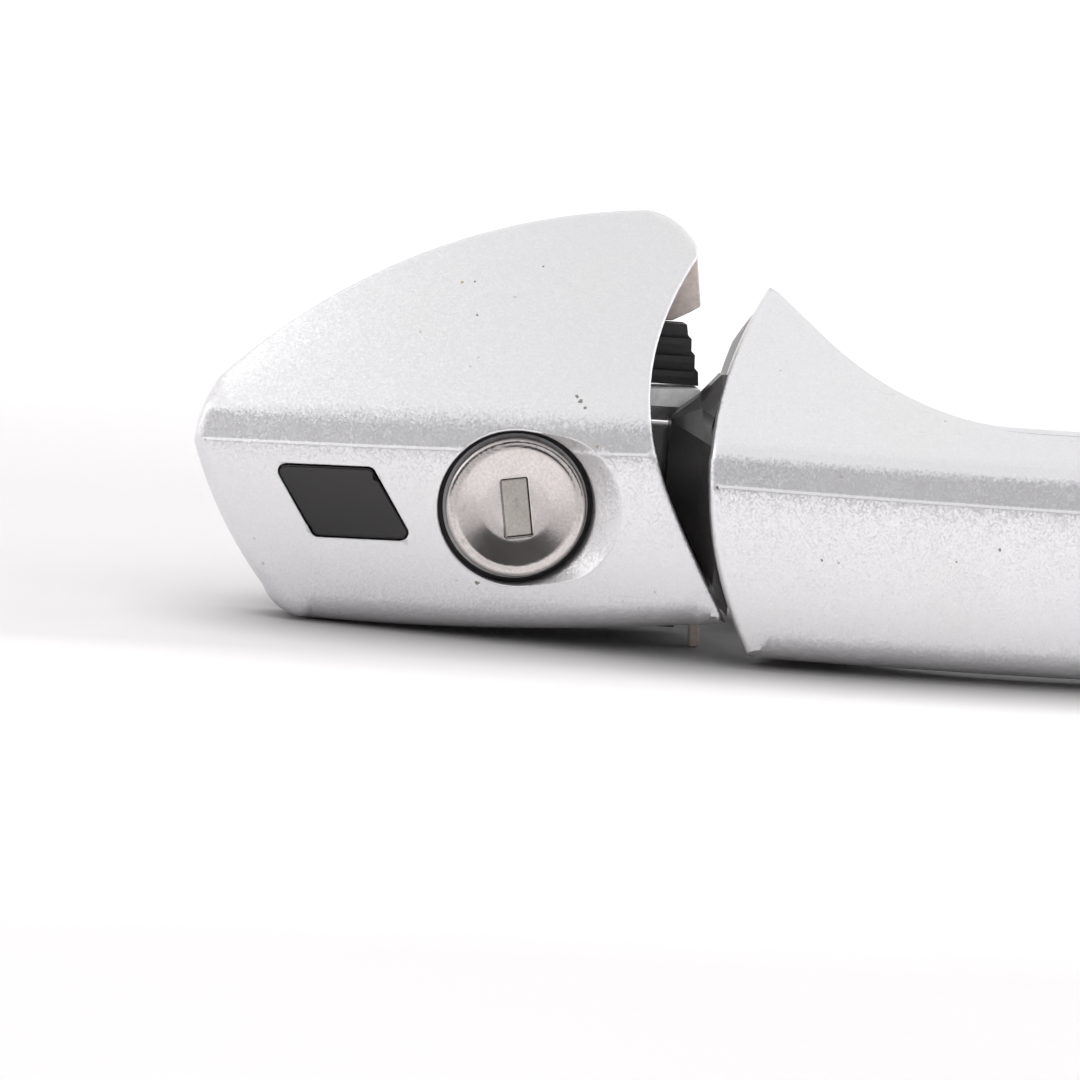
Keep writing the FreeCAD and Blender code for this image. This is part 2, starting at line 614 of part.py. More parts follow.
bracket_strip = prism([(-72, 16.0), (-55.0, 16.2), (-54.2, 19.0), (-72, 18.4)], -15.0, -7.0)
bracket_leg = prism([(-72, 9.0), (-69.4, 9.0), (-69.4, 17.0), (-72, 17.0)], -15.0, -13.0)
bracket_web = prism([(-66.8, 13.4), (-56.0, 13.4), (-55.4, 16.3), (-66.8, 16.3)], -9.0, -7.0)
named(feature("BufferBracket", bracket_strip.fuse([bracket_leg, bracket_web])), "buffer_bracket")
stepped = [(-64, 19.3), (-54.1, 19.3), (-54.3, 21.4), (-54.9, 22.0), (-55.0, 24.0), (-55.6, 24.6),
           (-55.7, 26.4), (-56.3, 27.0), (-56.6, 28.6), (-64, 28.6)]
buffer = prism(stepped, -11.6, -6.6)
ridge_tops = [20.6, 22.9, 25.6]
ridges = [Part.makeBox(8.0 - 0.6 * index, 1.6, 0.9, Vector(-63, -12.8, z))
          for index, z in enumerate(ridge_tops)]
buffer_base = prism([(-64, 18.6), (-54.3, 19.05), (-54.1, 19.35), (-64, 19.35)], -11.0, -8.0)
named(feature("RibbedBuffer", buffer.fuse(ridges)), "ribbed_buffer")

receiver = Part.makeBox(13, 7, 9, Vector(-32, -10.5, -4.5))
lens = Part.makeCylinder(2.6, 1.6, Vector(-25.5, -10.5, 0), Vector(0, -1, 0))
named(feature("Receiver", receiver.fuse(lens), CAP_PLACE), "ir_receiver")

PLUG_PLACE = Placement(Vector(dim["lock_x"], 0, 0), Rotation(Vector(0, 1, 0), -dim["slot_tilt"]))
BARREL_FRONT = -19.1
FLAP_AXIS_Y = -20.3
WAFER_YS = [-12.0, -7.0, -2.0, 3.0, 8.0]


def turned(item):
    """Give a finished lock piece the rest angle of the key opening."""
    item.Placement = PLUG_PLACE
    return item


barrel = rod("BarrelSolid", "barrel_rad", "barrel_rear + 19.1", 0, BARREL_FRONT, 0, ALONG_Y)
keyway = box("Keyway", 3.4, 33, 8.2, -1.7, BARREL_FRONT - 1, -4.1)
flap_pocket = box("FlapPocket", 5.0, 6.0, 9.6, -2.7, BARREL_FRONT - 1, -4.8)
wafer_slots = [box("WaferSlot%d" % index, 5.0, 1.0, 13.5, -2.5, y, -6.75)
               for index, y in enumerate(WAFER_YS)]
named(turned(cut("Barrel", barrel, keyway, flap_pocket, *wafer_slots)), "plug_barrel")
wafers = fuse("WaferStack", *[box("Wafer%d" % index, 4.8, 0.8, 13.2, -2.4, y + 0.1, -6.6)
                             for index, y in enumerate(WAFER_YS)])
wafer_window = box("WaferWindow", 3.0, 40, 8.0, -1.5, -18, -4.0)
named(turned(cut("Wafers", wafers, wafer_window)), "lock_wafers")

face_profile = [(0, -19.2), (10.6, -19.2), (10.6, -21.2), (10.25, -21.6), (9.7, -21.7), (9.2, -21.55),
                (8.0, -21.25), (6.5, -21.1), (5.0, -21.05), (0, -21.05)]
face = doc.addObject("PartDesign::Body", "FaceCap")
face_sketch = sketch_outline(face, "FaceCap_profile", "XY_Plane", face_profile)
face_turn = face.newObject("PartDesign::Revolution", "FaceCap_turn")
face_turn.Profile = face_sketch
face_turn.ReferenceAxis = (face_sketch, ["V_Axis"])
face_turn.Angle = 360
face_slot = box("FaceSlot", "slot_w", 8, "slot_t", "-slot_w/2", -25, "-slot_t/2")
knuckle_room = rod("KnuckleRoom", 0.7, "slot_t", "-slot_w/2 + 0.2", FLAP_AXIS_Y, "-slot_t/2")
knuckle_rear = box("KnuckleRear", 1.4, 3, "slot_t", "-slot_w/2 - 0.5", FLAP_AXIS_Y, "-slot_t/2")
flap_pin_bore = rod("FlapPinBore", 0.35, 10.6, "-slot_w/2 + 0.2", FLAP_AXIS_Y, -5.3)
named(turned(cut("FaceCapCut", face, face_slot, knuckle_room, knuckle_rear, flap_pin_bore)),
      "lock_face_cap")
flap_pin = doc.addObject("Part::Compound", "FlapPin")
flap_pin.Links = [rod("FlapPinRod", 0.35, 10.6, "-slot_w/2 + 0.2", FLAP_AXIS_Y, -5.3)]
named(turned(flap_pin), "shutter_pin")

flap = box("FlapPlate", "slot_w - 0.3", 0.6, "slot_t - 0.2", "-slot_w/2 + 0.2", -21.1, "0.1 - slot_t/2")
knuckle = rod("FlapKnuckle", 0.62, "slot_t - 0.2", "-slot_w/2 + 0.2", FLAP_AXIS_Y, "0.1 - slot_t/2")
knuckle_bore = rod("FlapBore", 0.41, 12, "-slot_w/2 + 0.2", FLAP_AXIS_Y, -6)
named(turned(cut("Flap", fuse("FlapSolid", flap, knuckle), knuckle_bore)), "shutter_flap")

shaft = rod("TailShaft", 3.0, 9.4, 0, "barrel_rear", 0, ALONG_Y)
cam = box("TailCam", 8, 2.6, 15, -4, "barrel_rear + 4.4", 0)
cam_hub = rod("TailHub", 6.0, 2.6, 0, "barrel_rear + 4.4", 0, ALONG_Y)
cam_eye = rod("TailEye", 1.6, 6, 0, "barrel_rear + 3", 11.5, ALONG_Y)
groove = rod("ClipGrooveOuter", 3.5, 0.9, 0, "barrel_rear + 7.4", 0, ALONG_Y)
groove_core = rod("ClipGrooveCore", 2.3, 0.9, 0, "barrel_rear + 7.4", 0, ALONG_Y)
clip_groove = cut("ClipGroove", groove, groove_core)
named(turned(cut("Tailpiece", fuse("TailSolid", shaft, cam, cam_hub), cam_eye, clip_groove)), "tailpiece")
clip_ring = rod("ClipRing", 4.8, 0.8, 0, "barrel_rear + 7.45", 0, ALONG_Y)
clip_bore = rod("ClipBore", 2.3, 2, 0, "barrel_rear + 7", 0, ALONG_Y)
clip_mouth = box("ClipMouth", 3.6, 2, 6, -1.8, "barrel_rear + 7", 0.4)
named(turned(cut("Clip", clip_ring, clip_bore, clip_mouth)), "tailpiece_clip")


def coil(radius, wire, turns, pitch):
    """Round-wire coil spring standing on the XY plane, as one closed solid."""
    helix = Part.makeHelix(pitch, pitch * turns, radius)
    start = Part.Wire(Part.Circle(Vector(radius, 0, 0), Vector(0, 1, 0), wire).toShape())
    return Part.Wire(helix).makePipeShell([start], True, True)


lock_spring_place = Placement(Vector(dim["lock_x"], dim["barrel_rear"] + 0.7, 0), ALONG_Y)
named(feature("LockSpring", coil(4.6, 0.5, 2.5, 1.15), lock_spring_place), "lock_return_spring")

# ---------------------------------------------------------------- bell crank
CRANK_X, CRANK_THICK = -60.0, 4.0


def crank_point(angle, reach):
    """(y, z) at an angle from upright towards the inside of the door."""
    turn = math.radians(angle)
    return (dim["crank_y"] + reach * math.sin(turn), dim["crank_z"] + reach * math.cos(turn))


def lever(angle, reach, hub, tip):
    """Flat tapered lever from the crank axis, as three corners pairs around its centre line."""
    turn = math.radians(angle)
    side = (math.cos(turn), -math.sin(turn))
    root, end = crank_point(angle, 0), crank_point(angle, reach)
    ring = [(root[0] + side[0] * hub, root[1] + side[1] * hub),
            (end[0] + side[0] * tip, end[1] + side[1] * tip),
            (end[0] - side[0] * tip, end[1] - side[1] * tip),
            (root[0] - side[0] * hub, root[1] - side[1] * hub)]
    return padded("Lever%d" % angle, "YZ_Plane", ring, CRANK_THICK, start=CRANK_X)


rest = dim["finger_rest"]
finger_at = crank_point(rest, dim["finger_reach"])
cable_at = crank_point(rest + 20, 13.0)
weight_at = crank_point(rest + 65, 10.5)
crank_solid = fuse(
    "CrankSolid", lever(rest, dim["finger_reach"], 4.4, 3.4), lever(rest + 20, 13.0, 4.0, 3.4),
    lever(rest + 65, 10.5, 4.0, 3.4),
    rod("CrankHub", 4.5, 14, CRANK_X, "crank_y", "crank_z", ALONG_X),
    rod("FingerRoot", 3.4, CRANK_THICK, CRANK_X, finger_at[0], finger_at[1], ALONG_X),
    rod("CableRoot", 3.6, CRANK_THICK, CRANK_X, cable_at[0], cable_at[1], ALONG_X),
    rod("Finger", "finger_rad", 18, CRANK_X, finger_at[0], finger_at[1], ALONG_X))
weight_bore = rod("WeightBore", 1.8, 8, CRANK_X - 2, weight_at[0], weight_at[1], ALONG_X)
cable_eye = rod("CableEye", 2.1, 8, CRANK_X - 2, cable_at[0], cable_at[1], ALONG_X)
bush_room = rod("BushRoom", 3.3, 40, -70, "crank_y", "crank_z", ALONG_X)
named(cut("BellCrank", crank_solid, weight_bore, cable_eye, bush_room), "bell_crank")

weight_front = rod("WeightFront", 3.7, 4.0, CRANK_X + CRANK_THICK, weight_at[0], weight_at[1], ALONG_X)
weight_stud = rod("WeightStud", 1.8, 6.0, CRANK_X - 0.2, weight_at[0], weight_at[1], ALONG_X)
weight_rivet = rod("WeightRivet", 2.8, 1.0, CRANK_X - 1.0, weight_at[0], weight_at[1], ALONG_X)
named(fuse("Weight", weight_front, weight_stud, weight_rivet), "counterweight")

bushes = [cut("Bush%d" % index,
              rod("BushBody%d" % index, 3.3, 6, x, "crank_y", "crank_z", ALONG_X),
              rod("BushBore%d" % index, "pin_rad + running", 8, x - 1, "crank_y", "crank_z", ALONG_X))
          for index, x in enumerate((CRANK_X, CRANK_X + 8.0))]
pair = doc.addObject("Part::Compound", "BushPair")
pair.Links = bushes
named(pair, "crank_bushes")
named(rod("CrankPin", "pin_rad", 35, -66, "crank_y", "crank_z", ALONG_X), "crank_pin")
crank_spring_place = Placement(Vector(-44.6, dim["crank_y"], dim["crank_z"]), ALONG_X)
named(feature("ReturnSpring", coil(3.9, 0.55, 5.5, 1.6), crank_spring_place), "crank_return_spring")

# ---------------------------------------------------------------- check and export
doc.recompute()
for item in doc.Objects:
    if {"Invalid", "Error"} & set(item.State):
        raise RuntimeError("failed object: " + item.Label)
os.makedirs("parts", exist_ok=True)
for item in nodes:
    shape = item.Shape
    if shape.isNull() or not shape.isValid() or not shape.Solids:
        raise RuntimeError("bad shape: " + item.Label)
    limits = shape.optimalBoundingBox(False)
    print("%-20s solids %d volume %8.1f  X %7.1f %7.1f  Y %6.1f %6.1f  Z %6.1f %6.1f" % (
        item.Label, len(shape.Solids), shape.Volume, limits.XMin, limits.XMax,
        limits.YMin, limits.YMax, limits.ZMin, limits.ZMax))
    shape.exportStep(os.path.join("parts", item.Label + ".step"))
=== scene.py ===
"""Looks for a car door handle: silver rear cap with lock and infrared window, silver bow grip.

The painted shells, the window and the lock's face are relief meshes: a closed outline in the plane
of the door, lifted by a height function, with rounded edges and walls that run back towards the door.
Forms are worked out in millimetres and written to the meshes in metres.
"""
import json
import math

import bpy
import numpy as np
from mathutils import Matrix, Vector
from mathutils.geometry import delaunay_2d_cdt


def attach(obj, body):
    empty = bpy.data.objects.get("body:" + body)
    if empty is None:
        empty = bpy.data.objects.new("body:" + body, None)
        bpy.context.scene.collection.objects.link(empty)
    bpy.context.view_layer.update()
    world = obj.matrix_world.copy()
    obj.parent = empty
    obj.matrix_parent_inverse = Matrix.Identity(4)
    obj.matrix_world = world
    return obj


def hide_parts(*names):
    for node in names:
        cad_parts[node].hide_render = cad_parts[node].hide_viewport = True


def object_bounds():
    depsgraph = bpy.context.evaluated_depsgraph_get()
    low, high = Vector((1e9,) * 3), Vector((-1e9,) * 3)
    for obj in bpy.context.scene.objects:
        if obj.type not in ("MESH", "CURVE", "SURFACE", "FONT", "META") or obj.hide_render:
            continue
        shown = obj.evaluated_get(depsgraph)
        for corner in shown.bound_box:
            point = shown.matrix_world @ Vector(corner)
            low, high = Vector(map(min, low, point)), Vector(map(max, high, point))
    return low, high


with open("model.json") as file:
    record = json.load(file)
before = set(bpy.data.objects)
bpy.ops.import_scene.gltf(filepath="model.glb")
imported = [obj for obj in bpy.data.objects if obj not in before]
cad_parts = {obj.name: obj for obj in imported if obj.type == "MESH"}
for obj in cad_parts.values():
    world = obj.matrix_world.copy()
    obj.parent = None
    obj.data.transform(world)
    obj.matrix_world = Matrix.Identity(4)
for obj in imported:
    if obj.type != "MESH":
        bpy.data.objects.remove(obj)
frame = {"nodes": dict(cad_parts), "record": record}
cad_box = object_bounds()
nodes = frame["nodes"]
scene = bpy.context.scene
MM = 0.001

# sizes in millimetres; the cap's own heights and places are measured from the lock's axis
LOCK_X = -81.6
TILT = math.radians(3.5)                 # lean of the cap against the grip
RIM_Y = -2.1                             # depth of the shells' rims, just outside the carrier's face
GRIP_RIM = -2.6                          # the grip's rim stays clear of the carrier as it swings
PLAN_RAD = 340.0                         # bow of the fronts, seen from above
CAP_APEX, GRIP_APEX = 33.0, 36.5         # how far the bows stand out at their middle
CAP_CREASE, GRIP_CREASE = 8.9, 6.7
BAND, LEAN = 5.2, 1.5                    # band above the crease: its height and how far it leans back
LEDGE, UNDER = 0.46, 2.6                 # step at the crease, and how far the lower panel draws in
FLARE, FLARE_REACH = 3.0, 3.7            # depth and width of the flare beside the lock
CAP_TIP, GRIP_TIP = -48.4, 130.0
GRIP_LOW = -19.6
BAR = (-8.0, 78.0, 17.6)                 # start, end and height of the grip's straight top
FOOT_TOP = 35.5
LOCK_HOLE = 11.8
LIP = -90.0                              # wall code: a short lip; LIP + share fades to the full depth
WALL = 0.6                               # thickness of the painted shells


# ---------------------------------------------------------------- outline tools
def mix(start, end, share):
    return start + (end - start) * share


def steps(first, last, gap):
    count = max(2, int(abs(last - first) / gap) + 1)
    return np.linspace(first, last, count)


def arc(start, through, end, gap=0.7):
    """Points of the round edge through three (x, z) points, without its last one."""
    (ax, az), (bx, bz), (cx, cz) = start, through, end
    twice = 2 * (ax * (bz - cz) + bx * (cz - az) + cx * (az - bz))
    a2, b2, c2 = ax * ax + az * az, bx * bx + bz * bz, cx * cx + cz * cz
    ox = (a2 * (bz - cz) + b2 * (cz - az) + c2 * (az - bz)) / twice
    oz = (a2 * (cx - bx) + b2 * (ax - cx) + c2 * (bx - ax)) / twice
    radius = math.hypot(ax - ox, az - oz)
    first, last = math.atan2(az - oz, ax - ox), math.atan2(cz - oz, cx - ox)
    turn = (last - first + math.pi) % (2 * math.pi) - math.pi
    angles = first + turn * np.linspace(0, 1, max(3, int(abs(turn) * radius / gap) + 2))[:-1]
    return [(ox + radius * math.cos(t), oz + radius * math.sin(t)) for t in angles]


def circle(radius, gap):
    count = int(2 * math.pi * radius / gap)
    return [(radius * math.cos(t), radius * math.sin(t))
            for t in np.linspace(0, 2 * math.pi, count, endpoint=False)]


def rounded(corners, radius, gap=0.5):
    """Closed outline with straight sides and round corners."""
    out = []
    count = len(corners)
    for index in range(count):
        before, here, after = [np.array(corners[(index + k) % count]) for k in (-1, 0, 1)]
        to_a, to_b = before - here, after - here
        len_a, len_b = np.linalg.norm(to_a), np.linalg.norm(to_b)
        to_a, to_b = to_a / len_a, to_b / len_b
        half = 0.5 * math.acos(float(np.clip(to_a @ to_b, -1, 1)))
        reach = radius / math.tan(half)
        start, end = here + to_a * reach, here + to_b * reach
        middle = (to_a + to_b) / np.linalg.norm(to_a + to_b)
        through = here + middle * (radius / math.sin(half) - radius)
        out += arc(tuple(start), tuple(through), tuple(end), radius * 0.35)
        far = np.array(corners[(index + 1) % count]) + (here - after) / len_b * reach
        out += [tuple(mix(end, far, t)) for t in np.linspace(0, 1, max(2, int(len_b / gap)))[:-1]]
    return out


def sized(points, radius, back):
    """Outline points with the edge radius and the depth of the wall at each."""
    return [(x, z, radius, back) for x, z in points]


def fading(points, radius, first, last):
    """Outline points whose wall changes from a short lip (0) to the full depth of the rim (1)."""
    shares = np.linspace(first, last, len(points))
    return [(x, z, radius, LIP + share) for (x, z), share in zip(points, shares)]


def oriented(loop, outer):
    """Outer outlines run anticlockwise and holes clockwise, seen from outside the door."""
    ring = np.array(loop, float)
    x, z = ring[:, 0], ring[:, 1]
    area = np.sum(x * np.roll(z, -1) - np.roll(x, -1) * z)
    return ring if (area > 0) == outer else ring[::-1]


def edge_distance(points, ring):
    """Distance of (x, z) points to a closed outline, with the edge radius at the nearest place."""
    start, end = ring[:, :2], np.roll(ring[:, :2], -1, axis=0)
    radius_a, radius_b = ring[:, 2], np.roll(ring[:, 2], -1)
    along = end - start
    length2 = np.maximum((along ** 2).sum(1), 1e-12)
    best = np.empty(len(points))
    radius = np.empty(len(points))
    for low in range(0, len(points), 2000):
        part = points[low:low + 2000, None, :] - start[None]
        share = np.clip((part * along).sum(2) / length2, 0, 1)
        gap = np.hypot(*np.moveaxis(part - share[..., None] * along, 2, 0))
        near = gap.argmin(1)
        rows = np.arange(len(near))
        best[low:low + 2000] = gap[rows, near]
        radius[low:low + 2000] = mix(radius_a[near], radius_b[near], share[rows, near])
    return best, radius


def inside(points, ring):
    """True for the (x, z) points within a closed outline."""
    result = np.zeros(len(points), bool)
    x, z = points[:, 0], points[:, 1]
    for (ax, az), (bx, bz) in zip(ring[:, :2], np.roll(ring[:, :2], -1, axis=0)):
        crosses = (az > z) != (bz > z)
        with np.errstate(divide="ignore", invalid="ignore"):
            result ^= crosses & (x < (bx - ax) * (z - az) / (bz - az) + ax)
    return result


def fillet(distance, radius):
    """How far a rounded edge falls back at a distance from the outline."""
    inset = np.clip(radius - distance, 0, radius)
    return radius - np.sqrt(np.maximum(radius ** 2 - inset ** 2, 0))


def smooth_max(a, b, soft):
    overlap = np.maximum(soft - np.abs(a - b), 0) / soft
    return np.maximum(a, b) + overlap ** 2 * soft / 4


def smooth_step(value, low, high):
    t = np.clip((value - low) / (high - low), 0, 1)
    return t * t * (3 - 2 * t)


RING_GAPS = (0.04, 0.12, 0.25, 0.42, 0.65, 0.95, 1.35, 1.9, 2.6, 3.4, 4.3, 5.2)
WALL_ROWS = (0.12, 0.4, 0.7, 1.0)
LINE_GAP = 0.8
LIP_DEPTH = 1.3


def within(points, rings):
    """True for the points inside the first outline and outside the holes."""
    keep = inside(points, rings[0])
    for ring in rings[1:]:
        keep &= ~inside(points, ring)
    return keep


def edge_layers(rings):
    """Rows of points along every outline, ever further inside the face, over its rounded edge."""
    layers, wanted = [], []
    for ring in rings:
        tangent = np.roll(ring[:, :2], -1, axis=0) - np.roll(ring[:, :2], 1, axis=0)
        normal = np.stack([-tangent[:, 1], tangent[:, 0]], 1)
        normal /= np.linalg.norm(normal, axis=1)[:, None]
        for offset in RING_GAPS:
            layer = (ring[:, :2] + normal * offset)[ring[:, 2] * 1.15 + 0.3 > offset]
            layers.append(layer)
            wanted.append(np.full(len(layer), offset))
    points = np.concatenate(layers)
    near = np.min([edge_distance(points, ring)[0] for ring in rings], axis=0)
    return points[near > np.concatenate(wanted) * 0.93]


def face_grid(rings, gap, lines, dense):
    """Grid across the face, with closer rows along each crease, clear of the rounded edges."""
    fixed = np.concatenate([ring[:, :2] for ring in rings])
    low, high = fixed.min(0), fixed.max(0)
    grid = np.stack(np.meshgrid(np.arange(low[0], high[0], gap), np.arange(low[1], high[1], gap)), -1)
    grid = grid.reshape(-1, 2)
    along = np.arange(low[0], high[0], LINE_GAP)
    for level, offsets in lines:
        grid = grid[np.abs(grid[:, 1] - level) > abs(offsets[0]) + 0.3]
        rows = [np.stack([along, np.full(len(along), level + offset)], 1) for offset in offsets]
        grid = np.concatenate([grid] + rows)
    if dense is not None:
        spread = np.array([np.min(np.hypot(*(dense - point).T)) for point in grid])
        grid = np.concatenate([grid[spread > 0.4], dense])
    clear = np.full(len(grid), 1e9)
    for ring in rings:
        distance, radius = edge_distance(grid, ring)
        clear = np.minimum(clear, distance - np.minimum(radius * 1.1, RING_GAPS[-1]) - 0.12)
    return grid[clear > 0]


def triangulated(rings, points, edges):
    """Flat vertices, triangles that face out of the door, and the vertex that each point became."""
    result = delaunay_2d_cdt([Vector(p) for p in points.tolist()], edges, [], 0, 1e-5, True)
    flat = np.array([tuple(v) for v in result[0]])
    origin = {source: index for index, group in enumerate(result[3]) for source in group}
    triangles = np.array([face for face in result[2] if len(face) == 3])
    triangles = triangles[within(flat[triangles].mean(1), rings)]
    a, b, c = flat[triangles[:, 0]], flat[triangles[:, 1]], flat[triangles[:, 2]]
    area = (b[:, 0] - a[:, 0]) * (c[:, 1] - a[:, 1]) - (c[:, 0] - a[:, 0]) * (b[:, 1] - a[:, 1])
    triangles[area < 0] = triangles[area < 0][:, ::-1]
    return flat, triangles, origin


def add_wall(verts, faces, rim, ring):
    """Wall from the vertices of one outline back towards the door, in four rows."""
    count = len(ring)
    row = rim
    for share in WALL_ROWS:
        start = len(verts)
        for k in range(count):
            x, front, z = verts[rim[k]]
            back = ring[k, 3]
            if back <= LIP + 1.0:
                back = mix(front + LIP_DEPTH, RIM_Y, back - LIP)
            verts.append((x, mix(front, max(back, front + 0.02), share), z))
        after = [start + k for k in range(count)]
        faces += [(row[k], after[k], after[(k + 1) % count], row[(k + 1) % count])
                  for k in range(count) if row[k] != row[(k + 1) % count]]
        row = after


def relief(name, outer, holes, height, gap, lines=(), axes=None, thickness=0.0, dense=None):
    """Mesh of a face with rounded edges; height gives y at (x, z), walls run back along +Y."""
    rings = [oriented(outer, True)] + [oriented(hole, False) for hole in holes]
    edges, first = [], 0
    for ring in rings:
        count = len(ring)
        edges += [(first + k, first + (k + 1) % count) for k in range(count)]
        first += count
    points = np.concatenate([ring[:, :2] for ring in rings] + [edge_layers(rings)]
                            + [face_grid(rings, gap, lines, dense)])
    keep = within(points, rings)
    keep[:first] = True
    flat, triangles, origin = triangulated(rings, points[keep], edges)
    drop = np.zeros(len(flat))
    for ring in rings:
        drop = np.maximum(drop, fillet(*edge_distance(flat, ring)))
    depths = height(flat[:, 0], flat[:, 1]) + drop
    verts = [(x, y, z) for (x, z), y in zip(flat, depths)]
    faces = [tuple(t) for t in triangles.tolist()]
    first = 0
    for ring in rings:
        add_wall(verts, faces, [origin[first + k] for k in range(len(ring))], ring)
        first += len(ring)
    return mesh_object(name, verts, faces, axes, thickness)


def mesh_object(name, verts, faces, axes, thickness):
    """Object from millimetre points; axes is the lean of the lock's own axes, if they are in them."""
    points = np.array(verts, float)
    if axes is not None:
        x, z = points[:, 0].copy(), points[:, 2].copy()
        points[:, 0] = LOCK_X + x * math.cos(axes) - z * math.sin(axes)
        points[:, 2] = x * math.sin(axes) + z * math.cos(axes)
    mesh = bpy.data.meshes.new(name)
    mesh.from_pydata((points * MM).tolist(), [], faces)
    mesh.validate()
    mesh.shade_smooth()
    mesh.set_sharp_from_angle(angle=math.radians(40))
    item = bpy.data.objects.new(name, mesh)
    scene.collection.objects.link(item)
    if thickness:
        shell = item.modifiers.new("Wall", "SOLIDIFY")
        shell.thickness = thickness * MM
        shell.offset = -1.0
    return item


def stand_for(item, body, slot, material, *replaced):
    item.data.materials.clear()
    item.data.materials.append(material)
    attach(item, body)
    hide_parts(*replaced)


# ---------------------------------------------------------------- form of cap and grip
def bow_y(x, apex):
    """Depth of a front along the handle; both bows share one radius."""
    return -0.9 - (apex - (PLAN_RAD - np.sqrt(PLAN_RAD ** 2 - x ** 2)))


def front_y(front, crease, low, z):
    """Band above the crease, its fine ledge with a rounded crest, and the lower panel."""
    under = np.minimum(UNDER, -0.25 * front)
    band = front + LEDGE + (z - crease) / BAND * (LEAN - LEDGE)
    below = np.maximum(crease - 0.15 - z, 0)
    panel = front + 0.2 * np.exp(-below / 1.3) + 0.85 * under * below / (crease - 3.15 - low)
    return mix(panel, band, smooth_step(z, crease - 0.32, crease + 0.14))


def cap_low(x):
    return -19.2 + (x + 14.0) ** 2 / 1050.0


def cap_top(x):
    return -57.0 + np.sqrt(np.maximum(101.0 ** 2 - (x - 23.5) ** 2, 1.0))


def mouth_x(z):
    rise = z - 14.5
    if rise > 0:
        return 19.6 + 0.018 * rise ** 2
    return 19.6 + math.hypot(6.45, 0.55 * rise) - 6.45


def cap_face(x, z):
    """Front of the cap without its openings."""
    front = bow_y(LOCK_X + x, CAP_APEX)
    crest = CAP_CREASE + BAND
    start = front + LEAN
    upper = start + (RIM_Y - 0.5 - start) * (z - crest) / np.maximum(cap_top(x) - crest, 0.5)
    base = front_y(front, CAP_CREASE, cap_low(x), z)
    return np.where(z > CAP_CREASE, smooth_max(base, upper, 1.3), base)


def flare_depth(x, z):
    """How far the flare beside the lock hole sinks below the cap's front; it fades out around the hole."""
    fade = smooth_step(np.clip(x / LOCK_HOLE, 0.0, 1.0), 0.0, 0.85)
    beyond = x - np.sqrt(np.maximum(LOCK_HOLE ** 2 - z ** 2, 0))
    share = np.clip(1 - beyond / np.maximum(FLARE_REACH * fade, 0.01), 0, 1)
    return np.where((np.abs(z) < LOCK_HOLE) & (x > 0), FLARE * fade * share ** 1.2, 0.0)


def cap_height(x, z):
    """Front of the cap with the flare that leads from the lock to the mouth."""
    return np.minimum(cap_face(x, z) + flare_depth(x, z), RIM_Y - 0.3)


def flare_points():
    """Points along the rim of the flare and across its floor."""
    nearest, first = LOCK_HOLE + 0.1, LOCK_HOLE + 0.5
    reach = np.arange(nearest, 19.0, 0.02)
    offsets = (-0.5, -0.28, -0.14, -0.05, 0.04, 0.12, 0.25, 0.45, 0.8)
    points = []
    for t in np.radians(np.arange(-84.0, 84.1, 1.25)):
        sunk = reach[flare_depth(reach * math.cos(t), reach * math.sin(t)) > 0.001]
        edge = sunk[-1] if len(sunk) else nearest
        across = list(np.arange(first, edge - 0.7, 0.45)) + [edge + offset for offset in offsets]
        points += [(r * math.cos(t), r * math.sin(t)) for r in across if r > first]
    return np.array(points)


def cap_outline():
    corner = (-37.9, -13.9)
    left = arc((CAP_TIP, 8.0), (-44.7, -2.4), corner) + arc(corner, (-35.9, -16.9), (-31.6, -18.6))
    bottom = [(x, float(cap_low(x))) for x in steps(-31.0, mouth_x(-17.2) - 0.4, 0.8)]
    mouth = [(mouth_x(z), z) for z in steps(-17.0, 37.6, 0.6)]
    shoulder = arc(mouth[-1], (27.0, 41.2), (22.0, 43.9))
    top = [(x, float(cap_top(x))) for x in steps(21.6, -44.4, 0.8)]
    tip = arc((-44.9, float(cap_top(-44.9)) - 0.2), (-47.2, 13.0), (CAP_TIP, 8.3))
    return (sized(left, 2.4, RIM_Y) + sized(bottom[:-6], 4.4, RIM_Y) + fading(bottom[-6:], 3.6, 1, 0)
            + sized(mouth[:3], 1.6, LIP) + sized(mouth[3:], 0.7, LIP) + fading(shoulder, 0.9, 0, 1)
            + sized(top, 0.35, RIM_Y) + sized(tip, 1.2, RIM_Y))


def window_corners(shrink):
    centre, half, tall, skew = -25.9, 7.45 - shrink, 5.5 - shrink, 3.15
    return [(centre - half + skew, -tall), (centre + half + skew, -tall),
            (centre + half - skew, tall), (centre - half - skew, tall)]


CREASE_ROWS = (-1.9, -1.3, -0.9, -0.6, -0.38, -0.24, -0.15, -0.07, 0.0, 0.08, 0.16, 0.32, 0.6, 1.0)
lock_hole = sized(circle(LOCK_HOLE, 0.35), 0.35, -13.0)
window_hole = sized(rounded(window_corners(-0.1), 1.25), 0.2, LIP)
cap = relief("cap_painted_shell", cap_outline(), [lock_hole, window_hole], cap_height, 0.9,
             lines=[(CAP_CREASE, CREASE_ROWS)], axes=TILT, thickness=WALL, dense=flare_points())

window = relief("ir_window_lens", sized(rounded(window_corners(0.1), 1.15), 0.3, LIP), [],
                lambda x, z: cap_face(x, z) + 0.05, 0.7, lines=[(0.0, (0.0,))], axes=TILT)


def level_at(y):
    """Height function of a flat face at one depth."""
    return lambda x, z: np.full(len(x), y)


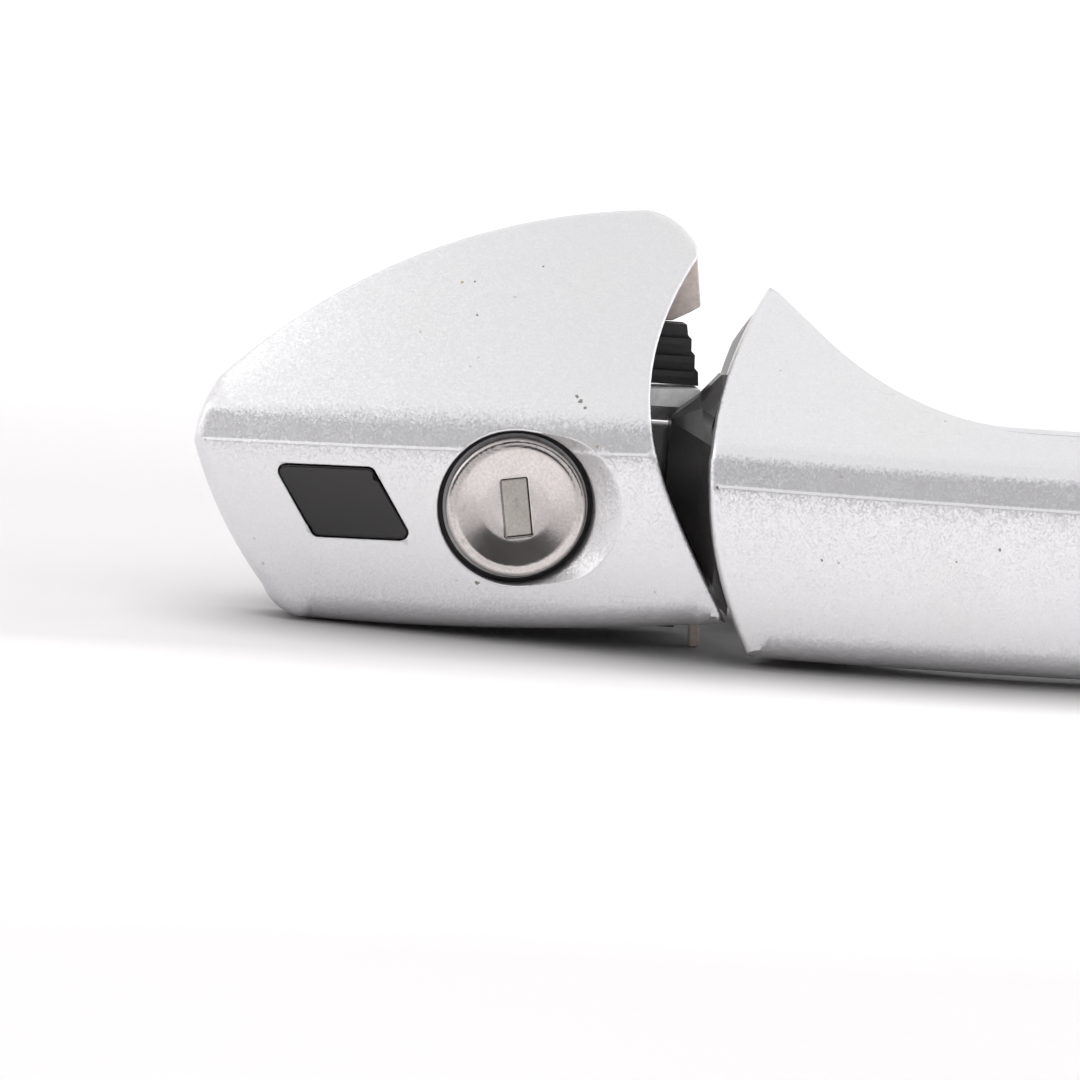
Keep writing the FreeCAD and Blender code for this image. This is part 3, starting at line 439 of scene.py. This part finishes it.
tab_outline = sized(rounded([(21, 27.0), (25.5, 27.0), (28.3, 28.3), (29.9, 29.2), (29.2, 37.3),
                             (26.0, 39.5), (21, 40.5)], 0.4), 0.3, RIM_Y)
tab = relief("cap_inner_tab", tab_outline, [], level_at(RIM_Y - 1.8), 1.2, axes=TILT)
rib_corners = [(27.75, -22.6), (29.25, -22.6), (29.25, -16.0), (27.75, -16.0)]
rib = relief("cap_locating_rib", sized(rounded(rib_corners, 0.3, 0.3), 0.2, -12.1), [], level_at(-14.4), 0.5,
             axes=TILT)


def door_height(x):
    """Top of the grip's feet, where they meet the door; the front foot mirrors the cap's slope."""
    mirrored = CAP_TIP + GRIP_TIP - x
    lowered = -57.0 - (CAP_CREASE - GRIP_CREASE)
    return np.minimum(FOOT_TOP, lowered + np.sqrt(101.0 ** 2 - np.minimum(0.0, mirrored - 23.5) ** 2))


def top_height(x):
    """Upper edge of the grip: straight along the bar, swept up in arcs of 40 mm to the feet."""
    sweep = 40.0
    run = np.maximum(np.maximum(BAR[0] - x, x - BAR[1]), 0.0)
    bend = np.minimum(run, 27.0)
    depth = np.sqrt(sweep ** 2 - bend ** 2)
    return np.minimum(BAR[2] + sweep - depth + (run - bend) * bend / depth, door_height(x))


def grip_height(x, z):
    front = bow_y(x, GRIP_APEX)
    crest = GRIP_CREASE + BAND
    start = front + LEAN
    upper = start + (RIM_Y - start) * (z - crest) / np.maximum(door_height(x) - crest, 0.5)
    base = front_y(front, GRIP_CREASE, GRIP_LOW, z)
    return np.minimum(np.where(z > GRIP_CREASE, smooth_max(base, upper, 1.3), base), GRIP_RIM - 0.3)


def grip_left_x(z):
    rise = z - 10.0
    if rise > 0:
        return -54.3 + 0.13 * rise + 0.014 * rise ** 2
    return -54.3 + 0.0098 * rise ** 2


def grip_back(x):
    """Depth of the outer shell's rear edge: the parting line of the bar, the door rim at the feet."""
    foot = (top_height(x) - BAR[2]) / (door_height(x) - BAR[2])
    return float(mix(bow_y(x, GRIP_APEX) + 9.0, GRIP_RIM, min(1.0, 1.25 * foot)))


def grip_outline():
    tip = GRIP_TIP
    left = [(grip_left_x(z), z) for z in steps(34.6, -18.4, 0.6)]
    bottom = [(x, GRIP_LOW) for x in steps(grip_left_x(-19.0) + 0.6, tip - 17.0, 0.9)]
    corner = arc((tip - 15.9, -19.5), (tip - 11.7, -18.0), (tip - 9.6, -15.7)) + \
        arc((tip - 9.6, -15.7), (tip - 3.7, -4.6), (tip, 5.8))
    last = float(door_height(tip))
    right = [(tip, z) for z in steps(6.4, last - 0.5, 0.6)]
    top = [(x, float(top_height(x))) for x in steps(tip - 0.4, grip_left_x(35.0) + 0.8, 0.8)]
    return (sized(left, 0.75, LIP) + fading(bottom[:20], 4.6, 0, 1)
            + [(x, z, 4.8, grip_back(x)) for x, z in bottom[20:]]
            + sized(corner, 2.4, GRIP_RIM) + sized(right, 1.2, GRIP_RIM)
            + [(x, z, 0.9, grip_back(x)) for x, z in top])


grip = relief("grip_painted_shell", grip_outline(), [], grip_height, 0.9,
              lines=[(GRIP_CREASE, CREASE_ROWS)], thickness=WALL)

# ---------------------------------------------------------------- lock
FACE_RAD = 10.6
FACE_PROFILE = ((0, -21.13), (3.6, -21.14), (5.2, -21.22), (8.9, -21.69), (9.2, -21.72), (9.45, -21.64),
                (9.65, -21.62), (9.9, -21.7), (10.2, -21.62), (FACE_RAD, -21.3))
fine = np.arange(0, 10.9, 0.02)
kernel = np.hanning(19) / np.hanning(19).sum()
soft_face = np.convolve(np.pad(np.interp(fine, *zip(*FACE_PROFILE)), 9, mode="edge"), kernel, mode="valid")
SLOT = math.radians(9.7)


def face_height(x, z):
    return np.interp(np.hypot(x, z), fine, soft_face)


slot = rounded([(-2.1, -4.45), (2.1, -4.45), (2.1, 4.45), (-2.1, 4.45)], 0.35, 0.3)
lock_face = relief("lock_face_disc", sized(circle(FACE_RAD, 0.3), 0.22, -19.2), [sized(slot, 0.12, -19.6)],
                   face_height, 0.35, axes=SLOT)
flap_outline = rounded([(-1.95, -4.33), (1.97, -4.33), (1.97, 4.33), (-1.95, 4.33)], 0.3, 0.3)
flap = relief("lock_shutter", sized(flap_outline, 0.18, -20.6), [],
              lambda x, z: -21.05 + 0.012 * x ** 2, 0.3, axes=SLOT)


# ---------------------------------------------------------------- materials
def new_material(name):
    material = bpy.data.materials.new(name)
    material.use_nodes = True
    tree = material.node_tree
    return material, tree, tree.nodes["Principled BSDF"]


def add(tree, kind, inputs=None, **settings):
    node = tree.nodes.new(kind)
    for key, value in settings.items():
        setattr(node, key, value)
    for key, value in (inputs or {}).items():
        socket = node.inputs[key]
        if isinstance(value, bpy.types.NodeSocket):
            tree.links.new(value, socket)
        else:
            socket.default_value = value
    return node


def object_coords(tree, stretch=(1.0, 1.0, 1.0)):
    coords = add(tree, "ShaderNodeTexCoord").outputs["Object"]
    return add(tree, "ShaderNodeMapping", {"Vector": coords, "Scale": stretch}).outputs["Vector"]


def noise(tree, coords, scale, detail=3.0, rough=0.55):
    return add(tree, "ShaderNodeTexNoise",
               {"Vector": coords, "Scale": scale, "Detail": detail, "Roughness": rough}).outputs["Fac"]


def cells(tree, coords, scale):
    """A grey value that is different in each small cell."""
    field = add(tree, "ShaderNodeTexVoronoi", {"Vector": coords, "Scale": scale})
    return add(tree, "ShaderNodeSeparateColor", {"Color": field.outputs["Color"]}).outputs["Red"]


def ramp(tree, value, stops):
    """Colour ramp through (place, colour) stops; a colour may be one grey number."""
    node = add(tree, "ShaderNodeValToRGB", {"Fac": value})
    band = node.color_ramp
    while len(band.elements) < len(stops):
        band.elements.new(0.5)
    for element, (place, colour) in zip(band.elements, stops):
        element.position = place
        grey = isinstance(colour, (int, float))
        element.color = (colour, colour, colour, 1.0) if grey else (*colour, 1.0)
    return node.outputs["Color"]


def remap(tree, value, low, high, from_low=0.0, from_high=1.0, kind="LINEAR"):
    """Value on a slope from low to high, held level outside it."""
    inputs = {"Value": value, "From Min": from_low, "From Max": from_high, "To Min": low, "To Max": high}
    return add(tree, "ShaderNodeMapRange", inputs, interpolation_type=kind).outputs["Result"]


def math_node(tree, operation, a, b=0.0):
    return add(tree, "ShaderNodeMath", {0: a, 1: b}, operation=operation).outputs["Value"]


def blend_colour(tree, share, a, b, mode="MIX"):
    node = add(tree, "ShaderNodeMix", data_type="RGBA", blend_type=mode)
    for index, value in ((0, share), (6, a), (7, b)):
        if isinstance(value, bpy.types.NodeSocket):
            tree.links.new(value, node.inputs[index])
        else:
            node.inputs[index].default_value = value if index == 0 else (*value, 1.0)
    return node.outputs[2]


def bumped(tree, height, strength, distance):
    inputs = {"Height": height, "Strength": strength, "Distance": distance}
    return add(tree, "ShaderNodeBump", inputs).outputs["Normal"]


def vector_math(tree, operation, a, b=None, output="Vector"):
    inputs = {0: a}
    if b is not None:
        inputs["Scale" if operation == "SCALE" else 1] = b
    return add(tree, "ShaderNodeVectorMath", inputs, operation=operation).outputs[output]


def surface_mark(tree, coords, colour, marks):
    """Small chips down to the primer at (x, y, z) millimetre points, with ragged edges."""
    wobble = add(tree, "ShaderNodeTexNoise", {"Vector": coords, "Scale": 2200.0}).outputs["Color"]
    ragged = vector_math(tree, "ADD", coords, vector_math(tree, "SCALE", wobble, 0.0007))
    for point, size, tone in marks:
        centre = [(value + 0.35) * MM for value in point]
        gap = vector_math(tree, "DISTANCE", ragged, centre, output="Value")
        colour = blend_colour(tree, math_node(tree, "LESS_THAN", gap, size * MM), colour, tone)
    return colour


def silver_paint(name, marks):
    """Metallic lacquer: tilted flakes, faint haze, hairline scratches, specks and chips."""
    material, tree, shader = new_material(name)
    coords = object_coords(tree)
    flakes = add(tree, "ShaderNodeTexVoronoi", {"Vector": coords, "Scale": 4200.0}).outputs["Color"]
    haze = noise(tree, coords, 60.0)
    grain = ramp(tree, cells(tree, coords, 5200.0), [(0.0, 0.775), (0.9, 0.80), (1.0, 0.83)])
    tint = ramp(tree, haze, [(0.3, (0.985, 0.98, 1.0)), (0.7, (1.0, 0.995, 1.0))])
    colour = blend_colour(tree, 1.0, grain, tint, "MULTIPLY")
    hairs = noise(tree, object_coords(tree, (1.0, 1.0, 30.0)), 150.0, 1.0, 0.4)
    patch = noise(tree, coords, 70.0, 2.0)
    hair_mask = math_node(tree, "MULTIPLY", ramp(tree, hairs, [(0.70, 0.0), (0.74, 1.0)]),
                          ramp(tree, patch, [(0.58, 0.0), (0.66, 1.0)]))
    colour = blend_colour(tree, math_node(tree, "MULTIPLY", hair_mask, 0.25), colour, (0.5, 0.49, 0.48))
    specks = math_node(tree, "GREATER_THAN", cells(tree, coords, 2500.0), 0.9997)
    colour = blend_colour(tree, math_node(tree, "MULTIPLY", specks, 0.4), colour, (0.36, 0.33, 0.30))
    colour = surface_mark(tree, coords, colour, marks)
    tree.links.new(colour, shader.inputs["Base Color"])
    shader.inputs["Metallic"].default_value = 0.9
    tree.links.new(remap(tree, haze, 0.37, 0.45), shader.inputs["Roughness"])
    shader.inputs["Coat Weight"].default_value = 0.3
    shader.inputs["Coat Roughness"].default_value = 0.15
    tilt = vector_math(tree, "SCALE", vector_math(tree, "SUBTRACT", flakes, (0.5, 0.5, 0.5)), 0.22)
    peel = bumped(tree, noise(tree, coords, 420.0, 2.0), 0.04, 0.0003)
    normal = vector_math(tree, "NORMALIZE", vector_math(tree, "ADD", peel, tilt))
    tree.links.new(normal, shader.inputs["Normal"])
    return material


def grained(name, dark, light, metallic, roughness, grain, relief_size, strength, coat=0.0,
            stretch=(1.0, 1.0, 1.0), wear=None):
    """Moulded, cast or plated surface: two-tone mottling, fine grain in the relief and uneven gloss."""
    material, tree, shader = new_material(name)
    coords = object_coords(tree, stretch)
    clouds = noise(tree, coords, 90.0, 4.0)
    fine_grain = noise(tree, coords, grain, 3.0, 0.6)
    colour = ramp(tree, clouds, [(0.3, dark), (0.7, light)])
    tone = ramp(tree, fine_grain, [(0.3, 0.82), (0.7, 1.1)])
    colour = blend_colour(tree, 0.8, colour, tone, "MULTIPLY")
    if wear:
        spots = noise(tree, coords, 420.0, 5.0, 0.7)
        colour = blend_colour(tree, ramp(tree, spots, [(0.62, 0.0), (0.70, 0.8)]), colour, wear)
    tree.links.new(colour, shader.inputs["Base Color"])
    shader.inputs["Metallic"].default_value = metallic
    tree.links.new(remap(tree, clouds, roughness - 0.07, roughness + 0.08), shader.inputs["Roughness"])
    if coat:
        shader.inputs["Coat Weight"].default_value = coat
        shader.inputs["Coat Roughness"].default_value = 0.06
    tree.links.new(bumped(tree, fine_grain, strength, relief_size), shader.inputs["Normal"])
    return material


def on_cap(x, z):
    y = float(cap_height(np.array([x]), np.array([z]))[0])
    return (LOCK_X + x * math.cos(TILT) - z * math.sin(TILT), y, x * math.sin(TILT) + z * math.cos(TILT))


def on_grip(x, z):
    return (x, float(grip_height(np.array([x]), np.array([z]))[0]), z)


OCHRE, DARK = (0.50, 0.42, 0.25), (0.26, 0.24, 0.22)
cap_marks = [(on_cap(x, z), size, tone) for x, z, size, tone in
             ((-7.6, 32.9, 0.30, OCHRE), (-5.6, 33.0, 0.20, DARK), (-5.5, 28.2, 0.22, DARK),
              (4.8, 35.5, 0.18, DARK), (8.8, 17.0, 0.28, DARK), (9.3, 16.3, 0.34, DARK),
              (9.9, 15.4, 0.24, DARK), (11.5, 9.8, 0.20, OCHRE), (-5.8, -11.6, 0.34, DARK))]
grip_marks = [(on_grip(x, z), size, tone) for x, z, size, tone in
              ((-10.8, 0.3, 0.26, DARK), (-17.0, -2.0, 0.18, DARK), (-36.9, -3.3, 0.2, DARK),
               (-34.4, -3.4, 0.14, DARK), (-18.6, 17.9, 0.18, OCHRE), (-53.2, 6.4, 0.24, DARK))]
paint_cap = silver_paint("silver_paint_cap", cap_marks)
paint_grip = silver_paint("silver_paint_grip", grip_marks)
look = {
    "gloss_window": grained("gloss_window", (0.004, 0.003, 0.004), (0.008, 0.006, 0.007), 0.0, 0.14,
                            500.0, 0.00002, 0.03),
    "satin_steel": grained("satin_steel", (0.50, 0.465, 0.45), (0.58, 0.545, 0.53), 0.98, 0.15,
                           2600.0, 0.00003, 0.12, wear=(0.36, 0.33, 0.31)),
    "zinc_cast": grained("zinc_cast", (0.36, 0.36, 0.37), (0.50, 0.50, 0.51), 0.85, 0.52,
                         900.0, 0.00012, 0.35),
    "black_plastic": grained("black_plastic", (0.012, 0.012, 0.013), (0.024, 0.023, 0.024), 0.0, 0.46,
                             1500.0, 0.00008, 0.3),
    "grey_plastic": grained("grey_plastic", (0.045, 0.046, 0.048), (0.075, 0.076, 0.080), 0.0, 0.55,
                            1100.0, 0.0001, 0.4),
    "seal_rubber": grained("seal_rubber", (0.014, 0.014, 0.014), (0.030, 0.029, 0.028), 0.0, 0.74,
                           1300.0, 0.00012, 0.5),
    "plated_steel": grained("plated_steel", (0.56, 0.55, 0.52), (0.70, 0.69, 0.66), 0.95, 0.30,
                            700.0, 0.00005, 0.2, wear=(0.40, 0.34, 0.26)),
    "brass": grained("brass", (0.55, 0.40, 0.16), (0.72, 0.54, 0.25), 0.95, 0.33, 900.0, 0.00005, 0.2),
    "spring_steel": grained("spring_steel", (0.28, 0.28, 0.29), (0.42, 0.42, 0.43), 0.95, 0.32,
                            800.0, 0.00005, 0.2, stretch=(1, 4, 1)),
}
raw_plastic = grained("raw_plastic", (0.84, 0.72, 0.66), (0.94, 0.84, 0.79), 0.0, 0.5,
                      1200.0, 0.00008, 0.3)
shutter_look = grained("shutter_steel", (0.44, 0.41, 0.38), (0.54, 0.51, 0.47), 0.8, 0.42,
                       2200.0, 0.00004, 0.25, wear=(0.28, 0.25, 0.22))
# painted light: the bracket is near-white and barely metallic, lighter than its plated steel, standing in
# for the light that falls on it through the mouth
bracket_painted_bright = grained("bracket_sheet_painted_bright", (0.86, 0.86, 0.86), (0.95, 0.95, 0.95), 0.1, 0.45,
                       900.0, 0.00006, 0.25)
plug_look = grained("plug_plastic", (0.020, 0.019, 0.019), (0.038, 0.035, 0.034), 0.0, 0.33,
                    1300.0, 0.00005, 0.2, coat=0.3)

look["silver_paint"] = paint_grip
own_look = {"buffer_bracket": bracket_painted_bright, "grip_end_plug": plug_look}
for entry in frame["record"]["subparts"]:
    item = nodes[entry["node"]]
    item.data.materials.clear()
    item.data.materials.append(own_look.get(entry["node"], look[entry["material_slot"]]))

stand_for(cap, "carrier", "silver_paint", paint_cap, "cap_shell")
stand_for(tab, "carrier", "silver_paint", raw_plastic, "cap_shell")
stand_for(rib, "carrier", "silver_paint", raw_plastic, "cap_shell")
stand_for(window, "carrier", "gloss_window", look["gloss_window"], "ir_window")
stand_for(grip, "grip", "silver_paint", paint_grip, "grip_outer_shell")
stand_for(lock_face, "lock_plug", "satin_steel", look["satin_steel"], "lock_face_cap")
stand_for(flap, "key_shutter", "satin_steel", shutter_look, "shutter_flap")

# ---------------------------------------------------------------- floor, light, camera
low_corner = cad_box[0]
floor_z = low_corner[2]
bend = [(-3.0, 0.0), (0.9, 0.0)]
bend += [(0.9 + 0.5 * math.sin(t), 0.5 - 0.5 * math.cos(t)) for t in np.linspace(0.1, math.pi / 2, 10)]
bend += [(1.4, 2.5)]
floor_verts = [(side, y, floor_z + rise) for y, rise in bend for side in (-4.0, 4.0)]
floor_faces = [(2 * k, 2 * k + 1, 2 * k + 3, 2 * k + 2) for k in range(len(bend) - 1)]
floor_mesh = bpy.data.meshes.new("floor")
floor_mesh.from_pydata(floor_verts, [], floor_faces)
floor_mesh.shade_smooth()
floor = bpy.data.objects.new("floor", floor_mesh)
scene.collection.objects.link(floor)
material, tree, shader = new_material("table")
coords = object_coords(tree)
tone = ramp(tree, noise(tree, coords, 9.0), [(0.3, (0.86, 0.845, 0.848)), (0.7, (0.875, 0.862, 0.865))])
# painted shadow: the table's colour is darkened right beside the handle, where the two nearly touch, by how
# closely the handle covers it
painted_shadow_occlusion = add(tree, "ShaderNodeAmbientOcclusion", {"Distance": 0.022}).outputs["AO"]
painted_contact_shadow = ramp(tree, painted_shadow_occlusion, [(0.42, 0.42), (0.97, 1.0)])
tone = blend_colour(tree, 1.0, tone, painted_contact_shadow, "MULTIPLY")
tree.links.new(tone, shader.inputs["Base Color"])
tree.links.new(remap(tree, noise(tree, coords, 300.0), 0.6, 0.7), shader.inputs["Roughness"])
shader.inputs["Specular IOR Level"].default_value = 0.2
# painted light: the floor glows, rising with distance towards the backdrop, and in a band just in front of
# the handle that the lower faces and the lock reflect
far = add(tree, "ShaderNodeSeparateXYZ", {"Vector": coords}).outputs["Y"]
glow = remap(tree, far, 0.0, 0.3, 0.12, 0.7)
near = ramp(tree, math_node(tree, "MULTIPLY", far, -4.0),
            [(0.14, 0.0), (0.36, 0.55), (0.46, 0.55), (0.66, 0.14), (0.8, 0.05)])
tree.links.new(math_node(tree, "ADD", glow, near), shader.inputs["Emission Strength"])
shader.inputs["Emission Color"].default_value = (1.0, 1.0, 1.0, 1.0)
floor.data.materials.append(material)

world = bpy.data.worlds.new("studio")
scene.world = world
world.use_nodes = True
tree = world.node_tree
back = tree.nodes["Background"]
direction = add(tree, "ShaderNodeTexCoord").outputs["Generated"]
parts = add(tree, "ShaderNodeSeparateXYZ", {"Vector": direction}).outputs
# the tent is bright behind and beside the handle, grey overhead and dim low in front of it
towards = remap(tree, parts["Y"], 0.0, 1.0, -0.25, -0.7, "SMOOTHSTEP")
level = remap(tree, parts["Z"], 1.0, 0.0, 0.50, 0.80, "SMOOTHSTEP")
dim_share = math_node(tree, "MULTIPLY", towards, level)
crown = remap(tree, parts["Z"], 0.0, 1.0, 0.55, 0.85, "SMOOTHSTEP")
behind = remap(tree, parts["Y"], 0.0, 1.0, 0.05, 0.6)
low = ramp(tree, parts["Z"], [(0.15, 0.42), (0.42, 1.0)])
side = blend_colour(tree, behind, (1.95, 1.94, 1.96), (4.2, 4.19, 4.21))
side = blend_colour(tree, 1.0, side, low, "MULTIPLY")
bright = blend_colour(tree, crown, side, (0.88, 0.875, 0.88))
front = ramp(tree, parts["Z"], [(0.22, (0.05, 0.049, 0.05)), (0.44, (0.74, 0.735, 0.745))])
tree.links.new(blend_colour(tree, dim_share, bright, front), back.inputs["Color"])
back.inputs["Strength"].default_value = 1.0

lamp = bpy.data.lights.new("overhead", "AREA")
lamp.shape = "RECTANGLE"
lamp.size, lamp.size_y = 1.2, 0.7
lamp.energy = 0.6
overhead = bpy.data.objects.new("overhead", lamp)
scene.collection.objects.link(overhead)
overhead.location = (-0.15, 0.25, 0.9)
overhead.rotation_euler = (-Vector(overhead.location)).to_track_quat("-Z", "Y").to_euler()

lens = bpy.data.cameras.new("camera")
lens.sensor_width = 36.0
lens.lens = 111.2
lens.clip_start = 0.01
camera = bpy.data.objects.new("camera", lens)
scene.collection.objects.link(camera)
camera.location = (-0.12980, -0.51739, 0.06540)
camera.rotation_euler = [math.radians(angle) for angle in (81.977, -4.357, -5.386)]
scene.camera = camera
scene.view_settings.view_transform = "Standard"
